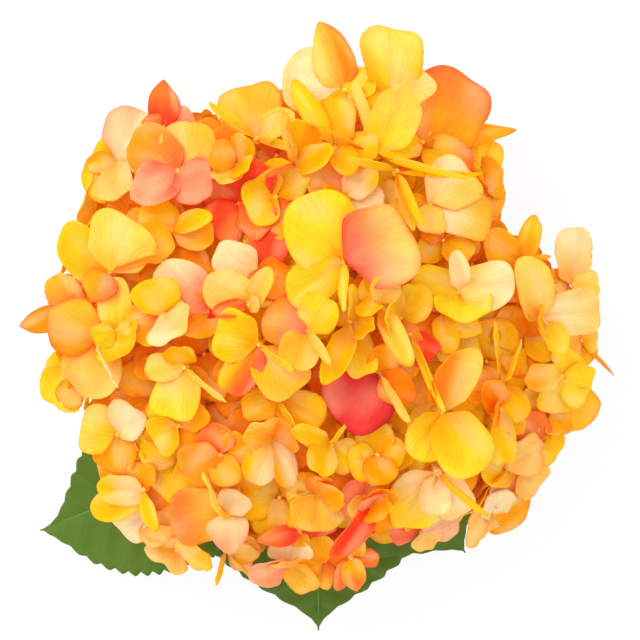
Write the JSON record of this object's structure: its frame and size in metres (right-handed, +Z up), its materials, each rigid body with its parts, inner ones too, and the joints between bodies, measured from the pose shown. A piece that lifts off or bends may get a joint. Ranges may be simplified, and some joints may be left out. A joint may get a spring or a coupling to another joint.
{
  "type": "hydrangea flower head",
  "caption": "Cut mophead hydrangea: a dome of four-sepalled florets on branching stalks over a short stem with toothed leaves, lying face up.",
  "frame": {"origin": "middle of the whole head's box, on the surface it lies on", "axes": "+Z up through the crown of the dome, +Y away from the lowest leaf, +X to the right when it is seen from above with that leaf towards the viewer"},
  "size_m": [0.1758, 0.189, 0.092],
  "materials": {
    "sepals": "satin, thin and translucent",
    "branches": "matt, pale green",
    "leaves": "satin green",
    "stem": "matt green"
  },
  "bodies": {
    "root": {"stem": "stem", "ray_centre": "branches", "ray_east": "branches", "ray_north_east": "branches", "ray_north": "branches", "ray_west": "branches", "ray_south_west": "branches", "ray_south": "branches", "ray_south_east": "branches", "leaf_south": "leaves", "leaf_south_west": "leaves", "leaf_south_east": "leaves", "floret_01": "sepals", "floret_02": "sepals", "floret_03": "sepals", "floret_04": "sepals", "floret_05": "sepals", "floret_06": "sepals", "floret_07": "sepals", "floret_08": "sepals", "floret_09": "sepals", "floret_10": "sepals", "floret_11": "sepals", "floret_12": "sepals", "floret_13": "sepals", "floret_14": "sepals", "floret_15": "sepals", "floret_16": "sepals", "floret_17": "sepals", "floret_18": "sepals", "floret_19": "sepals", "floret_20": "sepals", "floret_21": "sepals", "floret_22": "sepals", "floret_23": "sepals", "floret_24": "sepals", "floret_25": "sepals", "floret_26": "sepals", "floret_27": "sepals", "floret_28": "sepals", "floret_29": "sepals", "floret_30": "sepals", "floret_31": "sepals", "floret_32": "sepals", "floret_33": "sepals", "floret_34": "sepals", "floret_35": "sepals", "floret_36": "sepals", "floret_37": "sepals", "floret_38": "sepals", "floret_39": "sepals", "floret_40": "sepals", "floret_41": "sepals", "floret_42": "sepals", "floret_43": "sepals", "floret_44": "sepals", "floret_45": "sepals", "floret_46": "sepals", "floret_47": "sepals", "floret_48": "sepals"}
  },
  "joints": []
}
